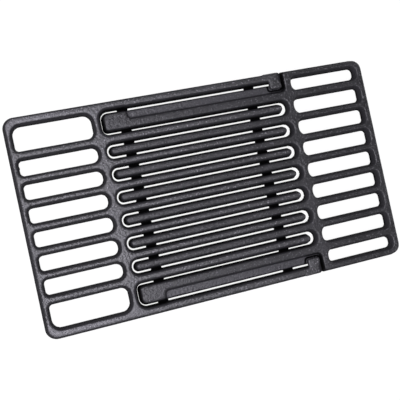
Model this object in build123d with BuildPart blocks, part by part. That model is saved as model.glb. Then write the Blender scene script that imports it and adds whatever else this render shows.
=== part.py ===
# Adjustable cast iron cooking grate: two comb shaped castings that slide together along X.
# Millimetres, +X along the grate, +Z up, origin on the ground below the middle of the closed grate.

import os
from math import radians, tan

from build123d import *

# Bars and fingers
finger_count = 7  # fingers of the outer half, the inner half has one in each space between them
bar_pitch = 21.8  # from bar to bar within one half
bar_height = 8.0  # from the flat underside to the crown
draft_angle = 14.0  # slope of the cast sides
crown_bevel = 1.15  # broken upper edges
outer_finger_width = 9.1  # widths are taken at the underside, where a bar is widest
outer_bar_width = 8.2  # bars between the slots of the outer half
inner_bar_width = 8.0  # bars between the slots of the inner half
edge_finger_extra = 0.7  # the outermost fingers are this much wider, on their outer side

# Lengths along X
outer_end_bar = 7.35
outer_slot_length = 71.9
outer_spine = 8.85
field_length = 183.5  # from spine to spine when the grate is closed
inner_spine = 9.0
inner_slot_length = 70.7
inner_end_bar = 9.7
edge_slot_setback = 1.7  # slots beside the inner half's side bars start this much further from the spine

# Sides, counted from the outermost finger outwards
strip_width = 10.2  # full height strip of the wide finger
ledge_width = 8.85  # lowered ledge beside the strip
rail_width = 9.6
inner_rail_width = 8.4  # the inner half's side bar, in line with the rail

# Ledge of the wide finger, and the hook that runs on it
ledge_drop = 4.0  # from the crown down to the ledge
tip_block_length = 25.0  # full height end of the wide finger, which stops the hook
ledge_corner_radius = 2.5
ledge_edge_bevel = 0.6
ledge_inset = 0.5  # the ledge's side lies this far inside the tip block's
ledge_root = 4.0  # how far the ledge runs into the strip, the tip block and the frame
block_corner_radius = 3.8
hook_length = 12.5
hook_end_gap = 3.4  # from the hook to the strip
hook_edge_bevel = 0.7
hook_flare = 6.0  # run-out of the hook along the rail
hook_flare_radius = 4.0
hook_corner_radius = 1.5
hook_inset = 0.5  # the hook's outer face lies this far inside the rail's foot

# Cross ties under the fingers of the outer half
tie_height = 5.0
tie_width = 10.0
tie_inset = 3.0  # from the outer face of a rail to the end of a tie
tie_edge_bevel = 1.0
root_tie_offset = 22.1  # from the spine to the middle of the first tie

# Corners, seen from above
frame_corner_radius = 10.5
channel_root_radius = 5.8
wide_root_radius = 7.0
slot_root_radius = 6.0  # slot corners beside the spine
slot_end_radius = 3.6  # slot corners beside the end bar
big_slot_corner_radius = 8.0
edge_slot_radius = 4.5
notch_radius = 3.8  # inner half's corners beside the ends of the rails
rail_end_radius = 2.5
wide_tip_radius = 6.5
wide_tip_inner_radius = 4.2

# Clearances
finger_gap = 1.6  # between neighbouring fingers
side_gap = 1.15  # beside the wide finger
stop_gap = 0.3  # wide finger to spine when closed, and hook to tip block when pulled out
inner_tip_gap = 1.2
outer_tip_gap = 3.9
rail_end_gap = 1.3
running_clearance = 0.3  # inner fingers above the ties, hook above the ledge

# Places across the grate
reach = (finger_count - 1) / 2 * bar_pitch
outer_rows = [(k - (finger_count - 1) / 2) * bar_pitch for k in range(finger_count)]
inner_rows = [(k - (finger_count - 2) / 2) * bar_pitch for k in range(finger_count - 1)]
inner_finger_width = bar_pitch - outer_finger_width - 2 * finger_gap
edge_finger_width = outer_finger_width + edge_finger_extra
edge_finger_y = reach + edge_finger_extra / 2
edge_finger_side = edge_finger_y + edge_finger_width / 2
edge_bar_side = reach + outer_bar_width / 2 + edge_finger_extra
wide_inner_side = edge_finger_side + side_gap
ledge_step = wide_inner_side + strip_width
wide_outer_side = ledge_step + ledge_width
rail_inner_side = wide_outer_side + side_gap
half_width = rail_inner_side + rail_width
rail_middle = half_width - rail_width / 2

# Places along the grate
outer_length = outer_end_bar + outer_slot_length + outer_spine
inner_length = inner_spine + inner_slot_length + inner_end_bar
edge_slot_length = inner_slot_length - edge_slot_setback
closed_length = outer_length + field_length + inner_length
outer_end = -closed_length / 2
inner_end = closed_length / 2
outer_root = outer_end + outer_length
inner_root = inner_end - inner_length
inner_tip = outer_root + inner_tip_gap
wide_tip = outer_root + stop_gap
outer_tip = inner_root - outer_tip_gap
rail_end = inner_root - rail_end_gap
ledge_start = wide_tip + tip_block_length
hook_start = rail_end - hook_length
travel = hook_start - ledge_start - stop_gap
tip_tie_x = inner_tip + travel + tie_width / 2
root_tie_x = outer_root + root_tie_offset

# Heights
crown_z = tie_height + bar_height
ledge_z = crown_z - ledge_drop
hook_z = ledge_z + running_clearance
slope = tan(radians(draft_angle))
strip_foot = ledge_step + (ledge_z - tie_height) * slope  # the strip's side meets the ledge at its step
block_foot = ledge_start + (ledge_z - tie_height) * slope


def at_x(shape, x):
    # corners of a sketch on the line x, from one side of the grate to the other
    return shape.vertices().filter_by_position(Axis.X, x - 0.01, x + 0.01).sort_by(Axis.Y)


# Slots, each drawn round its own middle with the spine on the right
with BuildSketch() as outer_slot:
    Rectangle(outer_slot_length, bar_pitch - outer_bar_width)
    fillet(outer_slot.vertices().group_by(Axis.X)[0], slot_end_radius)
    fillet(outer_slot.vertices().group_by(Axis.X)[-1], slot_root_radius)

with BuildSketch() as big_slot:
    Rectangle(outer_slot_length, rail_inner_side - edge_bar_side)
    fillet(big_slot.vertices().group_by(Axis.Y)[-1], big_slot_corner_radius)
    fillet(at_x(big_slot, -outer_slot_length / 2)[0], slot_end_radius)
    fillet(at_x(big_slot, outer_slot_length / 2)[0], slot_root_radius)

with BuildSketch() as inner_slot:
    Rectangle(inner_slot_length, bar_pitch - inner_bar_width)
    fillet(inner_slot.vertices().group_by(Axis.X)[0], slot_end_radius)
    fillet(inner_slot.vertices().group_by(Axis.X)[-1], slot_root_radius)

with BuildSketch() as edge_slot:
    RectangleRounded(edge_slot_length, half_width - inner_rail_width - ledge_step, edge_slot_radius)

# Hook at the end of a rail: a flat plate that reaches inwards over the ledge
with BuildPart() as hook:
    with BuildSketch(Plane.XY.offset(hook_z)) as hook_plan:
        hook_y = ledge_step + hook_end_gap
        with Locations((rail_end, hook_y)):
            Rectangle(hook_length, half_width - hook_inset - hook_y, align=(Align.MAX, Align.MIN))
        with Locations((rail_end, rail_middle)):
            Rectangle(hook_length + hook_flare, rail_width / 2 - hook_inset, align=(Align.MAX, Align.MIN))
        fillet(at_x(hook_plan, rail_end)[-1], rail_end_radius)
        fillet(at_x(hook_plan, hook_start)[-1], hook_flare_radius)
        fillet(at_x(hook_plan, hook_start - hook_flare), hook_corner_radius)
        fillet(hook_plan.vertices().group_by(Axis.Y)[0], hook_corner_radius)
    extrude(amount=crown_z - hook_z)
    chamfer(hook.faces().sort_by(Axis.Z)[-1].edges(), hook_edge_bevel)

# Outer half: end frame, seven fingers, two hooked rails and the cross ties
with BuildPart() as outer_half:
    with BuildSketch(Plane.XY.offset(tie_height)) as outer_plan:
        with Locations((outer_end, 0)):
            Rectangle(outer_length, 2 * half_width, align=(Align.MIN, Align.CENTER))
        finger_length = outer_tip - outer_root + outer_spine
        with Locations(*[(outer_tip, y) for y in outer_rows[1:-1]]):
            SlotOverall(finger_length, outer_finger_width, align=(Align.MAX, Align.CENTER))
        with Locations((outer_tip, edge_finger_y), (outer_tip, -edge_finger_y)):
            SlotOverall(finger_length, edge_finger_width, align=(Align.MAX, Align.CENTER))
        with Locations((outer_root, rail_middle), (outer_root, -rail_middle)):
            Rectangle(rail_end - outer_root + rail_width, rail_width, align=(Align.MIN, Align.CENTER))
        fillet(at_x(outer_plan, outer_end), frame_corner_radius)
        fillet(at_x(outer_plan, outer_root)[1:-1], channel_root_radius)
        fillet(at_x(outer_plan, outer_root)[0], wide_root_radius)
        fillet(at_x(outer_plan, outer_root)[-1], wide_root_radius)
        slot_x = outer_end + outer_end_bar + outer_slot_length / 2
        with Locations(*[(slot_x, y) for y in inner_rows]):
            add(outer_slot.sketch, mode=Mode.SUBTRACT)
        with Locations((slot_x, (edge_bar_side + rail_inner_side) / 2)):
            add(big_slot.sketch, mode=Mode.SUBTRACT)
        with Locations((slot_x, -(edge_bar_side + rail_inner_side) / 2)):
            add(big_slot.sketch.mirror(Plane.XZ), mode=Mode.SUBTRACT)
    extrude(amount=bar_height)
    draft(outer_half.faces().filter_by(Axis.Z, reverse=True), Plane.XY.offset(tie_height), draft_angle)
    chamfer(outer_half.faces().sort_by(Axis.Z)[-1].edges(), crown_bevel)

    # rails cut square, and their hooks
    with Locations((rail_end, 0, tie_height)):
        Box(
            2 * rail_width,
            2 * half_width,
            bar_height,
            align=(Align.MIN, Align.CENTER, Align.MIN),
            mode=Mode.SUBTRACT,
        )
    add(hook.part)
    add(hook.part.mirror(Plane.XZ))

    # ties that carry the inner half's fingers
    with BuildSketch(Plane.XZ) as tie_section:
        with Locations((root_tie_x, tie_height), (tip_tie_x, tie_height)):
            Trapezoid(
                tie_width,
                tie_height,
                90 - draft_angle,
                rotation=180,
                align=(Align.CENTER, Align.MIN),
            )
        chamfer(tie_section.vertices().group_by(Axis.Y)[0], tie_edge_bevel)
    extrude(amount=half_width - tie_inset, both=True)
outer_half.part.label = "outer_half"

# Ledge of a wide finger: a low shelf beside the strip, rooted in the tip block and the end frame
with BuildPart() as ledge:
    with BuildSketch(Plane.YZ.offset(ledge_start - ledge_root)) as ledge_section:
        ledge_foot = wide_outer_side - ledge_inset
        with BuildLine():
            Polyline(
                (ledge_step - ledge_root, tie_height),
                (ledge_foot, tie_height),
                (ledge_foot - (ledge_z - tie_height) * slope, ledge_z),
                (ledge_step - ledge_root, ledge_z),
                close=True,
            )
        make_face()
        chamfer(ledge_section.vertices().group_by(Axis.Y)[-1].sort_by(Axis.X)[-1], ledge_edge_bevel)
    extrude(amount=inner_root - ledge_start + 2 * ledge_root)

# Inner half: end frame, six fingers between the outer half's, and a wide finger at each side
with BuildPart() as inner_half:
    with BuildSketch(Plane.XY.offset(tie_height)) as inner_plan:
        with Locations((inner_root, 0)):
            Rectangle(inner_length, 2 * half_width, align=(Align.MIN, Align.CENTER))
        finger_length = inner_root - inner_tip + inner_spine
        with Locations(*[(inner_tip, y) for y in inner_rows]):
            SlotOverall(finger_length, inner_finger_width, align=(Align.MIN, Align.CENTER))
        for side in (1, -1):
            with Locations((inner_root, side * (wide_inner_side + strip_foot) / 2)):
                Rectangle(inner_root - wide_tip, strip_foot - wide_inner_side, align=(Align.MAX, Align.CENTER))
            with Locations((wide_tip, side * (wide_inner_side + wide_outer_side) / 2)):
                Rectangle(
                    block_foot - wide_tip,
                    wide_outer_side - wide_inner_side,
                    align=(Align.MIN, Align.CENTER),
                )
        fillet(at_x(inner_plan, inner_end), frame_corner_radius)
        fillet(at_x(inner_plan, inner_root)[2:-2], channel_root_radius)
        fillet(at_x(inner_plan, inner_root)[1], ledge_corner_radius)
        fillet(at_x(inner_plan, inner_root)[-2], ledge_corner_radius)
        fillet(at_x(inner_plan, inner_root)[0], notch_radius)
        fillet(at_x(inner_plan, inner_root)[-1], notch_radius)
        fillet(at_x(inner_plan, wide_tip)[1:-1], wide_tip_inner_radius)
        fillet(at_x(inner_plan, wide_tip)[0], wide_tip_radius)
        fillet(at_x(inner_plan, wide_tip)[-1], wide_tip_radius)
        fillet(at_x(inner_plan, block_foot)[1:-1], ledge_corner_radius)
        fillet(at_x(inner_plan, block_foot)[0], block_corner_radius)
        fillet(at_x(inner_plan, block_foot)[-1], block_corner_radius)
        slot_x = inner_end - inner_end_bar - inner_slot_length / 2
        with Locations(*[(slot_x, y) for y in outer_rows]):
            add(inner_slot.sketch.mirror(Plane.YZ), mode=Mode.SUBTRACT)
        edge_slot_x = inner_end - inner_end_bar - edge_slot_length / 2
        edge_slot_y = (ledge_step + half_width - inner_rail_width) / 2
        with Locations((edge_slot_x, edge_slot_y), (edge_slot_x, -edge_slot_y)):
            add(edge_slot.sketch, mode=Mode.SUBTRACT)
    extrude(amount=bar_height)
    draft(inner_half.faces().filter_by(Axis.Z, reverse=True), Plane.XY.offset(tie_height), draft_angle)
    chamfer(inner_half.faces().sort_by(Axis.Z)[-1].edges(), crown_bevel)
    add(ledge.part)
    add(ledge.part.mirror(Plane.XZ))

    # undersides of the fingers, lifted clear of the ties
    with Locations((wide_tip, 0, tie_height)):
        Box(
            inner_root - channel_root_radius - wide_tip,
            2 * half_width,
            running_clearance,
            align=(Align.MIN, Align.CENTER, Align.MIN),
            mode=Mode.SUBTRACT,
        )
inner_half.part.label = "inner_half"

os.makedirs("parts", exist_ok=True)
export_step(outer_half.part, "parts/outer_half.step")
export_step(inner_half.part, "parts/inner_half.step")
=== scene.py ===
import math

import bmesh
import bpy
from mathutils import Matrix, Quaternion, Vector


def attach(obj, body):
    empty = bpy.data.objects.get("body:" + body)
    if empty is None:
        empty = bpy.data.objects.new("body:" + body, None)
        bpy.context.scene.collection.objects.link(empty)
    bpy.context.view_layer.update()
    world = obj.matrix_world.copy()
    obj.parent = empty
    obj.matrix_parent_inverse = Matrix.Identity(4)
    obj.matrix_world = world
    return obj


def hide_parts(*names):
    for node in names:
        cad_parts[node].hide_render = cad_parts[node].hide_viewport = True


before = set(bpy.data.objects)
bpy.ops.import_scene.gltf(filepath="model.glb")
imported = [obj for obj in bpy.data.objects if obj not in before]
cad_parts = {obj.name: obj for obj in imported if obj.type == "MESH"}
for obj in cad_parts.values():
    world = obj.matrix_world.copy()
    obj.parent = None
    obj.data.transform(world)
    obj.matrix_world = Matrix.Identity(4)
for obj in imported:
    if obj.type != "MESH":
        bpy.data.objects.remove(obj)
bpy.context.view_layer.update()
scene = bpy.context.scene
scene.view_settings.view_transform = "Standard"
print("frame loaded:", ", ".join(sorted(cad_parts)))


class Wire:
    # a socket that takes part in sums
    def __init__(self, sheet, socket):
        self.sheet = sheet
        self.socket = socket

    def __add__(self, other):
        return self.sheet.maths("ADD", self, other)

    def __radd__(self, other):
        return self.sheet.maths("ADD", other, self)

    def __sub__(self, other):
        return self.sheet.maths("SUBTRACT", self, other)

    def __rsub__(self, other):
        return self.sheet.maths("SUBTRACT", other, self)

    def __mul__(self, other):
        return self.sheet.maths("MULTIPLY", self, other)

    def __rmul__(self, other):
        return self.sheet.maths("MULTIPLY", other, self)

    def __truediv__(self, other):
        return self.sheet.maths("DIVIDE", self, other)

    def __rtruediv__(self, other):
        return self.sheet.maths("DIVIDE", other, self)


class NodeSheet:
    # one node tree, emptied and filled node by node
    def __init__(self, tree):
        self.tree = tree
        tree.nodes.clear()

    def pick(self, sockets, key):
        if isinstance(key, int):
            return sockets[key]
        return next(s for s in sockets if s.name == key and s.enabled)

    def add(self, kind, settings=None, sockets=None, out=0):
        node = self.tree.nodes.new(kind)
        for key, value in (settings or {}).items():
            setattr(node, key, value)
        for key, value in (sockets or {}).items():
            socket = self.pick(node.inputs, key)
            if isinstance(value, Wire):
                self.tree.links.new(value.socket, socket)
            else:
                socket.default_value = value
        return Wire(self, self.pick(node.outputs, out)) if node.outputs else node

    def maths(self, operation, first, second=0.0):
        return self.add("ShaderNodeMath", {"operation": operation}, {0: first, 1: second})

    def vector(self, operation, first, second, out="Vector"):
        return self.add("ShaderNodeVectorMath", {"operation": operation}, {0: first, 1: second}, out)

    def scaled(self, first, amount):
        return self.add("ShaderNodeVectorMath", {"operation": "SCALE"}, {"Vector": first, "Scale": amount})

    def spread(self, value, low, high, newLow=0.0, newHigh=1.0):
        # a value's range laid out on another one, with soft ends
        return self.add(
            "ShaderNodeMapRange",
            {"interpolation_type": "SMOOTHSTEP"},
            {"Value": value, "From Min": low, "From Max": high, "To Min": newLow, "To Max": newHigh},
        )

    def blend(self, amount, first, second, kind="RGBA"):
        sockets = {"Factor": amount, "A": first, "B": second}
        return self.add("ShaderNodeMix", {"data_type": kind}, sockets, "Result")

    def axis(self, vector, name):
        return self.add("ShaderNodeSeparateXYZ", {}, {0: vector}, name)

    def length(self, vector):
        return self.add("ShaderNodeVectorMath", {"operation": "LENGTH"}, {0: vector}, "Value")


# cast iron with a black finish: crowns worn to a dull sheen, sides matt, painted shade in the gaps and at
# the foot of the bars
ironFinish = {
    "paintedShade": (0.0012, 0.0012, 0.0013, 1),  # painted shade, black at the foot of the bars and between the halves
    "ash": (0.050, 0.0490, 0.0536, 1),  # lighter grains on the sides
    "deep": (0.018, 0.0176, 0.0194, 1),
    "plain": (0.027, 0.0264, 0.0291, 1),
    # lighter colour of worn pebble tops, and painted highlight on the rims
    "wornAndHighlight": (0.068, 0.0662, 0.0735, 1),
    "paintedGlint": (0.30, 0.29, 0.32, 1),
    "paintedLightColour": (0.14, 0.1363, 0.1513, 1),
    "cornerPaintedLight": 0.70,  # painted light on the rails and corners at the -X end
    "cornerLength": (0.05, 0.16),  # from the middle towards that end
    "cornerWidth": (0.075, 0.092),  # from the middle towards the sides
    "ledgePaintedLight": 0.0,  # painted light on the ledges where the hooks slide
    "ledgeHeight": 0.009,
    "ledgeBand": (0.0004, 0.0012),
    "paintedLightGrain": (0.30, 0.62),  # grains that the painted light reaches
    "pebbleSize": 0.0018,
    "pebbleBlur": 0.6,
    "grainSize": 0.0007,
    "blotchSize": 0.018,
    "patchSize": 0.072,
    "patchShare": 0.35,
    "shadeRange": (0.36, 0.62),
    "pimpleRange": (0.60, 0.72),  # odd grains that stand proud
    "pimplePaintedGlint": 0.7,
    "stoneRange": (0.75, 1.15),  # tops of the pebbles
    "stoneGrain": 0.4,
    "stoneWear": 0.55,
    "rimRange": (0.25, 0.95),
    "rimRagged": 0.5,
    "rimPaintedHighlight": 0.6,
    "rimPolish": 0.06,
    "bareRange": (0.25, 0.85),  # where the crown shows through
    "bareRagged": 0.3,
    "ashShares": (0.3, 0.4),  # from blotches and from grain
    "bumpShares": (0.55, 0.35, 0.35),  # of pebbles, grain and pimples
    "grainDepth": 0.00070,
    "grainStrength": 0.9,
    "roughness": (0.33, 0.45),
    "sheen": 1.0,
    "sideRoughness": 0.85,
    "sideSheen": 0.04,
}


def castIron(name, finish):
    iron = bpy.data.materials.new(name)
    iron.use_nodes = True
    sheet = NodeSheet(iron.node_tree)
    place = sheet.add("ShaderNodeTexCoord", out="Object")
    rim = sheet.add("ShaderNodeAttribute", {"attribute_name": "rim"}, out="Fac")
    crown = sheet.add("ShaderNodeAttribute", {"attribute_name": "crown"}, out="Fac")
    foot = sheet.add("ShaderNodeAttribute", {"attribute_name": "foot"}, out="Fac")

    def noise(size, detail, roughness=0.5):
        return sheet.add(
            "ShaderNodeTexNoise",
            {"noise_dimensions": "3D"},
            {"Vector": place, "Scale": 1 / size, "Detail": detail, "Roughness": roughness},
            "Fac",
        )

    pebbles = sheet.add(
        "ShaderNodeTexVoronoi",
        {"feature": "SMOOTH_F1"},
        {
            "Vector": place,
            "Scale": 1 / finish["pebbleSize"],
            "Smoothness": finish["pebbleBlur"],
            "Randomness": 1.0,
        },
        "Distance",
    )
    grain = noise(finish["grainSize"], 3, 0.6)
    blotch = noise(finish["blotchSize"], 4, 0.55)
    patch = noise(finish["patchSize"], 2)
    pimple = sheet.spread(noise(finish["pebbleSize"], 1), *finish["pimpleRange"])
    stone = 1 - pebbles
    ragged = grain - 0.5  # grain about nought, to fray a border

    stoneShare, grainShare, pimpleShare = finish["bumpShares"]
    height = stone * stoneShare + grain * grainShare + pimple * pimpleShare
    bump = sheet.add(
        "ShaderNodeBump",
        {},
        {"Strength": finish["grainStrength"], "Distance": finish["grainDepth"], "Height": height},
        "Normal",
    )
    paintedRimHighlight = sheet.spread(rim + ragged * finish["rimRagged"], *finish["rimRange"])
    bare = sheet.spread(crown + ragged * finish["bareRagged"], *finish["bareRange"])
    blotches = blotch * (1 - finish["patchShare"]) + patch * finish["patchShare"]
    shade = sheet.spread(blotches, *finish["shadeRange"])

    # painted light at the corners and on the ledges
    towardsEnd = sheet.spread(0.0 - sheet.axis(place, "X"), *finish["cornerLength"])
    towardsSide = sheet.spread(sheet.maths("ABSOLUTE", sheet.axis(place, "Y")), *finish["cornerWidth"])
    offLedge = sheet.maths("ABSOLUTE", sheet.axis(place, "Z") - finish["ledgeHeight"])
    onLedge = sheet.spread(offLedge, *finish["ledgeBand"], 1.0, 0.0)
    paintedLight = towardsEnd * towardsSide * finish["cornerPaintedLight"] + onLedge * finish["ledgePaintedLight"]

    colour = sheet.blend(shade, finish["deep"], finish["plain"])
    tops = sheet.spread(stone + grain * finish["stoneGrain"], *finish["stoneRange"])
    colour = sheet.blend(tops * finish["stoneWear"], colour, finish["wornAndHighlight"])
    # painted highlight: lighter lines along the edges
    colour = sheet.blend(paintedRimHighlight * finish["rimPaintedHighlight"], colour, finish["wornAndHighlight"])
    # painted light: lighter patches on the -X corners and on the inner ledges
    colour = sheet.blend(paintedLight * sheet.spread(grain, *finish["paintedLightGrain"]), colour, finish["paintedLightColour"])
    # painted glints on the grains that stand proud
    colour = sheet.blend(pimple * finish["pimplePaintedGlint"], colour, finish["paintedGlint"])
    low, high = finish["roughness"]
    roughness = low + (high - low) * (shade * 0.5 + grain * 0.5) - paintedRimHighlight * finish["rimPolish"]
    shadeShare, grainShare = finish["ashShares"]
    sideColour = sheet.blend(shade * shadeShare + grain * grainShare, finish["plain"], finish["ash"])
    top = sheet.add(
        "ShaderNodeBsdfPrincipled",
        {},
        {
            "Base Color": colour,
            "Roughness": roughness,
            "Normal": bump,
            "Specular IOR Level": finish["sheen"],
        },
        "BSDF",
    )
    side = sheet.add(
        "ShaderNodeBsdfPrincipled",
        {},
        {
            # painted shade: the sides go black at the foot of the bars and beside the other half
            "Base Color": sheet.blend(foot, sideColour, finish["paintedShade"]),
            "Roughness": finish["sideRoughness"],
            "Normal": bump,
            "Specular IOR Level": finish["sideSheen"],
        },
        "BSDF",
    )
    shader = sheet.add("ShaderNodeMixShader", {}, {0: bare, 1: side, 2: top})
    sheet.add("ShaderNodeOutputMaterial", {}, {"Surface": shader})
    return iron


# the inner half is duller, and has painted light only on its ledges
innerFinish = dict(
    ironFinish,
    wornAndHighlight=(0.055, 0.0537, 0.0595, 1),
    paintedGlint=(0.13, 0.127, 0.14, 1),
    paintedLightColour=(0.066, 0.0644, 0.0714, 1),
    cornerPaintedLight=0.0,
    ledgePaintedLight=0.8,
    sheen=0.66,
)

outerIron = castIron("outerIron", ironFinish)
innerIron = castIron("innerIron", innerFinish)
print("finishes made:", outerIron.name, innerIron.name)


# where each effect of the skin starts and ends, in metres if nothing else is said
skinLimits = {
    "sharpAngle": 0.5,  # radians
    "footTop": 0.0005,  # edges below this are drawn out sharp
    "edgeReach": 0.7,  # cells
    "softFrom": (0.0008, 0.003),
    "flawSlope": (0.25, 1.0),  # shares of its width
    "levelShare": (0.5, 0.9),  # how level the way to the other half lies
    # where the painted shade at the foot of the bars and beside the other half fades out
    "paintedShadeHeight": (0.0006, 0.0035),
    "paintedShadeReach": (0.0022, 0.0060),
    "crownSlope": (0.66, 0.97),  # upward part of the normal
    "crownHeight": (0.001, 0.003),
    "crownShadeStart": 0.6,  # share of the painted crown shade's reach
}


# skin of a casting: even mesh laid on the solid, edges softened, surface uneven as sand leaves it
def castSkinTree(limits):
    tree = bpy.data.node_groups.new("castSkin", "GeometryNodeTree")
    sheet = NodeSheet(tree)
    inputs = (
        ("Geometry", "NodeSocketGeometry"),
        ("Solid", "NodeSocketObject"),
        ("Neighbour", "NodeSocketObject"),
        ("Cell", "NodeSocketFloat"),
        ("Edge Softness", "NodeSocketInt"),
        ("Foot Height", "NodeSocketFloat"),
        ("Rim Width", "NodeSocketInt"),
        ("Rim Height", "NodeSocketFloat"),
        ("Coat", "NodeSocketFloat"),
        ("Crown Shade Reach", "NodeSocketFloat"),
        ("Lump Size", "NodeSocketFloat"),
        ("Lump Depth", "NodeSocketFloat"),
        ("Grain Size", "NodeSocketFloat"),
        ("Grain Depth", "NodeSocketFloat"),
        ("Flaw Place", "NodeSocketVector"),
        ("Flaw Width", "NodeSocketFloat"),
        ("Flaw Height", "NodeSocketFloat"),
        ("Seed", "NodeSocketFloat"),
        ("Iron", "NodeSocketMaterial"),
    )
    sockets = {}
    for name, kind in inputs:
        sockets[name] = tree.interface.new_socket(name=name, in_out="INPUT", socket_type=kind).identifier
    tree.interface.new_socket(name="Geometry", in_out="OUTPUT", socket_type="NodeSocketGeometry")

    given = tree.nodes.new("NodeGroupInput")
    wire = {name: Wire(sheet, given.outputs[name]) for name, kind in inputs}
    position = sheet.add("GeometryNodeInputPosition")
    normal = sheet.add("GeometryNodeInputNormal", out="Normal")

    def blurred(steps):
        return sheet.add(
            "GeometryNodeBlurAttribute",
            {"data_type": "FLOAT_VECTOR"},
            {"Value": position, "Iterations": steps, "Weight": 1.0},
            "Value",
        )

    def noise(size, detail):
        return sheet.add(
            "ShaderNodeTexNoise",
            {"noise_dimensions": "4D"},
            {"Vector": position, "W": wire["Seed"], "Scale": 1 / size, "Detail": detail},
            "Fac",
        )

    def stored(skin, name, value):
        return sheet.add(
            "GeometryNodeStoreNamedAttribute",
            {"data_type": "FLOAT", "domain": "POINT"},
            {"Geometry": skin, "Name": name, "Value": value},
        )

    # laid on the solid, and drawn out to its sharp edges at the foot of the bars
    height = sheet.axis(position, "Z") - wire["Foot Height"]
    solid = sheet.add("GeometryNodeObjectInfo", {}, {"Object": wire["Solid"]}, "Geometry")
    angle = sheet.add("GeometryNodeInputMeshEdgeAngle", {}, {}, "Unsigned Angle")
    sharp = sheet.maths("GREATER_THAN", angle, limits["sharpAngle"])
    sharp = sharp * sheet.maths("LESS_THAN", height, limits["footTop"])
    edges = {"Geometry": solid, "Selection": sharp}
    feet = sheet.add("GeometryNodeSeparateGeometry", {"domain": "EDGE"}, edges)
    nearFace = sheet.add("GeometryNodeProximity", {"target_element": "FACES"}, {0: solid}, "Position")
    nearEdge = sheet.add("GeometryNodeProximity", {"target_element": "EDGES"}, {0: feet}, "Position")
    reach = sheet.vector("DISTANCE", position, nearEdge, "Value")
    atEdge = sheet.maths("LESS_THAN", reach, wire["Cell"] * limits["edgeReach"])
    nearest = sheet.blend(atEdge, nearFace, nearEdge, "VECTOR")
    skin = sheet.add("GeometryNodeSetPosition", {}, {"Geometry": wire["Geometry"], "Position": nearest})
    # how far each point stands out as an edge
    out = sheet.vector("SUBTRACT", position, blurred(wire["Rim Width"]))
    rim = sheet.vector("DOT_PRODUCT", out, normal, "Value") / wire["Rim Height"]
    skin = stored(skin, "rim", rim)
    # soft edges, but crisp along the foot of the bars
    softness = sheet.spread(height, *limits["softFrom"])
    soft = sheet.blend(softness, position, blurred(wire["Edge Softness"]), "VECTOR")
    skin = sheet.add("GeometryNodeSetPosition", {}, {"Geometry": skin, "Position": soft})
    # uneven surface, and one drop of iron left at the edge of a slot
    lump = (noise(wire["Lump Size"], 2.0) - 0.5) * wire["Lump Depth"]
    grit = (noise(wire["Grain Size"], 1.0) - 0.5) * wire["Grain Depth"]
    away = sheet.vector("DISTANCE", position, wire["Flaw Place"], "Value") / wire["Flaw Width"]
    flaw = sheet.spread(away, *limits["flawSlope"], 1.0, 0.0) * wire["Flaw Height"]
    sideways = sheet.vector("MULTIPLY", normal, (1.0, 1.0, 0.0))
    offset = sheet.scaled(normal, lump + grit + flaw)
    offset = sheet.vector("ADD", offset, sheet.scaled(sideways, wire["Coat"]))
    skin = sheet.add("GeometryNodeSetPosition", {}, {"Geometry": skin, "Offset": offset})
    # painted shade, darkest at the foot of the bars and beside the other half, not above or below it
    other = sheet.add("GeometryNodeObjectInfo", {}, {"Object": wire["Neighbour"]}, "Geometry")
    nearOther = sheet.add("GeometryNodeProximity", {"target_element": "FACES"}, {0: other}, "Position")
    away = sheet.vector("SUBTRACT", position, nearOther)
    apart = sheet.length(away)
    level = sheet.length(sheet.vector("MULTIPLY", away, (1.0, 1.0, 0.0)))
    beside = sheet.spread(level / apart, *limits["levelShare"])
    low = sheet.spread(height, *limits["paintedShadeHeight"], 1.0, 0.0)
    paintedGapShade = sheet.spread(apart, *limits["paintedShadeReach"], 1.0, 0.0) * beside
    skin = stored(skin, "foot", sheet.maths("MAXIMUM", low, paintedGapShade))
    # worn crowns: faces that look up, cut back near the other half by painted shade on the flanks, those
    # of the cross ties left out
    upward = sheet.spread(sheet.axis(normal, "Z"), *limits["crownSlope"])
    above = sheet.spread(height, *limits["crownHeight"])
    crownShadeEnd = wire["Crown Shade Reach"]
    # painted shade: the crown's sheen and lighter colour give way near the gaps between the halves
    crownShade = sheet.spread(apart, crownShadeEnd * limits["crownShadeStart"], crownShadeEnd, 1.0, 0.0) * beside
    skin = stored(skin, "crown", upward * above * (1 - crownShade))
    skin = sheet.add("GeometryNodeSetShadeSmooth", {}, {"Geometry": skin, "Shade Smooth": True})
    skin = sheet.add("GeometryNodeRealizeInstances", {}, {"Geometry": skin})
    skin = sheet.add("GeometryNodeSetMaterial", {}, {"Geometry": skin, "Material": wire["Iron"]})
    sheet.add("NodeGroupOutput", {}, {"Geometry": skin})
    return tree, sockets


skinTree, skinSockets = castSkinTree(skinLimits)
print("skin tree made:", len(skinTree.nodes), "nodes")

outerCasting = {
    "node": "outer_half",
    "Iron": outerIron,
    "Cell": 0.00068,
    "Edge Softness": 5,
    "Foot Height": 0.005,
    "Rim Width": 8,
    "Rim Height": 0.0006,
    "Coat": 0.00014,  # on the sides
    "Crown Shade Reach": 0.0078,
    "Lump Size": 0.014,
    "Lump Depth": 0.00022,
    "Grain Size": 0.0020,
    "Grain Depth": 0.00017,
    "Flaw Place": (-0.1733, 0.0550, 0.0070),
    "Flaw Width": 0.0022,
    "Flaw Height": 0.0008,
    "Seed": 3.0,
    "triangles": 190000,
    "weld": 2e-6,
}
innerCasting = {
    **outerCasting,
    "node": "inner_half",
    "Iron": innerIron,
    "Edge Softness": 4,
    "Crown Shade Reach": 0.0030,
    "Flaw Height": 0.0,
    "Seed": 8.0,
}


def weldedSolid(casting):
    node = casting["node"]
    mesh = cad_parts[node].data.copy()
    shell = bmesh.new()
    shell.from_mesh(mesh)
    bmesh.ops.remove_doubles(shell, verts=shell.verts, dist=casting["weld"])
    shell.to_mesh(mesh)
    shell.free()
    solid = bpy.data.objects.new(node + "Solid", mesh)
    scene.collection.objects.link(solid)
    return solid


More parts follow.
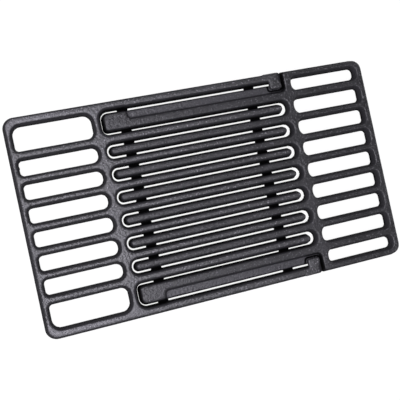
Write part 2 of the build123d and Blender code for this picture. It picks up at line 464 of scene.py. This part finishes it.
def cast(name, casting, neighbour):
    solid = weldedSolid(casting)
    other = weldedSolid(neighbour)
    rough = bpy.data.objects.new(name + "Rough", solid.data.copy())
    scene.collection.objects.link(rough)

    even = rough.modifiers.new("evenMesh", "REMESH")
    even.mode = "VOXEL"
    even.voxel_size = casting["Cell"]
    even.adaptivity = 0.0
    skin = rough.modifiers.new("castSkin", "NODES")
    skin.node_group = skinTree
    for key, value in casting.items():
        if key in skinSockets:
            skin[skinSockets[key]] = value
    skin[skinSockets["Solid"]] = solid
    skin[skinSockets["Neighbour"]] = other

    def settled():
        seen = bpy.context.evaluated_depsgraph_get()
        return bpy.data.meshes.new_from_object(rough.evaluated_get(seen))

    def triangles(mesh):
        return sum(len(face.vertices) - 2 for face in mesh.polygons)

    mesh = settled()
    count = triangles(mesh)
    rough.modifiers.clear()
    rough.data = mesh
    thin = rough.modifiers.new("thin", "DECIMATE")
    thin.ratio = min(1.0, casting["triangles"] / count)
    mesh = settled()
    rough.modifiers.clear()
    piece = bpy.data.objects.new(name, mesh)
    scene.collection.objects.link(piece)
    for scrap in (rough, solid, other):
        bpy.data.objects.remove(scrap)
    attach(piece, casting["node"])
    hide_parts(casting["node"])
    print("cast:", name, count, "triangles, kept", triangles(mesh))


cast("outerCasting", outerCasting, innerCasting)
cast("innerCasting", innerCasting, outerCasting)

# plain pale floor, white to the eye, with the grate's faint shadow
floorSheet = {
    "size": 6.0,
    "drop": 0.0002,  # below the grate's feet
    "glow": 0.90,
    "cover": (0.16, 0.16, 0.16, 1),
    "bounce": (0.45, 0.45, 0.45, 1),
}


def seenDirectly(sheet):
    # 1 for rays from the eye, from gloss and through glass
    path = sheet.tree.nodes.new("ShaderNodeLightPath")
    kinds = ("Is Camera Ray", "Is Glossy Ray", "Is Transmission Ray")
    camera, glossy, through = (Wire(sheet, path.outputs[kind]) for kind in kinds)
    return sheet.maths("MAXIMUM", sheet.maths("MAXIMUM", camera, glossy), through)


def layFloor(floor):
    half = floor["size"] / 2
    mesh = bpy.data.meshes.new("floor")
    corners = [(-half, -half, 0), (half, -half, 0), (half, half, 0), (-half, half, 0)]
    mesh.from_pydata(corners, [], [(0, 1, 2, 3)])
    piece = bpy.data.objects.new("floor", mesh)
    scene.collection.objects.link(piece)
    paper = bpy.data.materials.new("paleFloor")
    paper.use_nodes = True
    sheet = NodeSheet(paper.node_tree)
    cover = sheet.add("ShaderNodeBsdfDiffuse", {}, {"Color": floor["cover"]}, "BSDF")
    white = {"Color": (1, 1, 1, 1), "Strength": floor["glow"]}
    glow = sheet.add("ShaderNodeEmission", {}, white, "Emission")
    seen = sheet.add("ShaderNodeAddShader", {}, {0: cover, 1: glow})
    bounce = sheet.add("ShaderNodeBsdfDiffuse", {}, {"Color": floor["bounce"]}, "BSDF")
    shader = sheet.add("ShaderNodeMixShader", {}, {0: seenDirectly(sheet), 1: bounce, 2: seen})
    sheet.add("ShaderNodeOutputMaterial", {}, {"Surface": shader})
    mesh.materials.append(paper)
    piece.location.z = -floor["drop"]


layFloor(floorSheet)
print("floor laid")

# soft studio light: a long soft box above the left end of the picture, and dim air all round
studio = {
    "keyPlace": (-0.28, -0.04, 0.95),
    "keyTarget": (-0.20, 0.0, 0.0),
    "keyLength": 1.0,
    "keyWidth": 0.30,
    "keyPower": 9.5,
    "keyColour": (1.0, 0.975, 1.08),
    "sweep": (1.0, 1.0, 1.0, 1),  # white low down, all round
    "air": (0.17, 0.17, 0.175, 1),  # dim overhead
    "sweepHeight": (0.16, 0.34),
}


def lightStudio(studio):
    lamp = bpy.data.lights.new("softBox", "AREA")
    lamp.shape = "RECTANGLE"
    lamp.size = studio["keyLength"]
    lamp.size_y = studio["keyWidth"]
    lamp.energy = studio["keyPower"]
    lamp.color = studio["keyColour"]
    key = bpy.data.objects.new("softBox", lamp)
    scene.collection.objects.link(key)
    key.location = studio["keyPlace"]
    key.visible_camera = False
    aim = Vector(studio["keyTarget"]) - key.location
    key.rotation_euler = aim.to_track_quat("-Z", "Y").to_euler()
    air = bpy.data.worlds.new("studioAir")
    air.use_nodes = True
    scene.world = air
    sheet = NodeSheet(air.node_tree)
    direction = sheet.add("ShaderNodeTexCoord", out="Generated")
    low, high = studio["sweepHeight"]
    overhead = sheet.spread(sheet.axis(direction, "Z"), low, high)
    tone = sheet.blend(overhead, studio["sweep"], studio["air"])
    room = sheet.add("ShaderNodeBackground", {}, {"Color": tone, "Strength": 1.0}, "Background")
    sheet.add("ShaderNodeOutputWorld", {}, {"Surface": room})


lightStudio(studio)
print("light set")

# camera above the left end, as in the picture
photoView = {
    "place": (-0.18955, -0.01407, 0.65193),
    "target": (-0.01688, -0.00629, 0.01291),
    "roll": 75.27,
    "lens": 63.0,
    "sensor": 36.0,
    "nearest": 0.01,
}


def setCamera(view):
    eye = bpy.data.cameras.new("photoCamera")
    eye.lens = view["lens"]
    eye.sensor_width = view["sensor"]
    eye.clip_start = view["nearest"]
    camera = bpy.data.objects.new("photoCamera", eye)
    scene.collection.objects.link(camera)
    camera.location = view["place"]
    aim = (Vector(view["target"]) - camera.location).to_track_quat("-Z", "Y")
    turn = Quaternion((0, 0, 1), math.radians(view["roll"]))
    camera.rotation_euler = (aim @ turn).to_euler()
    scene.camera = camera


setCamera(photoView)
print("camera set")
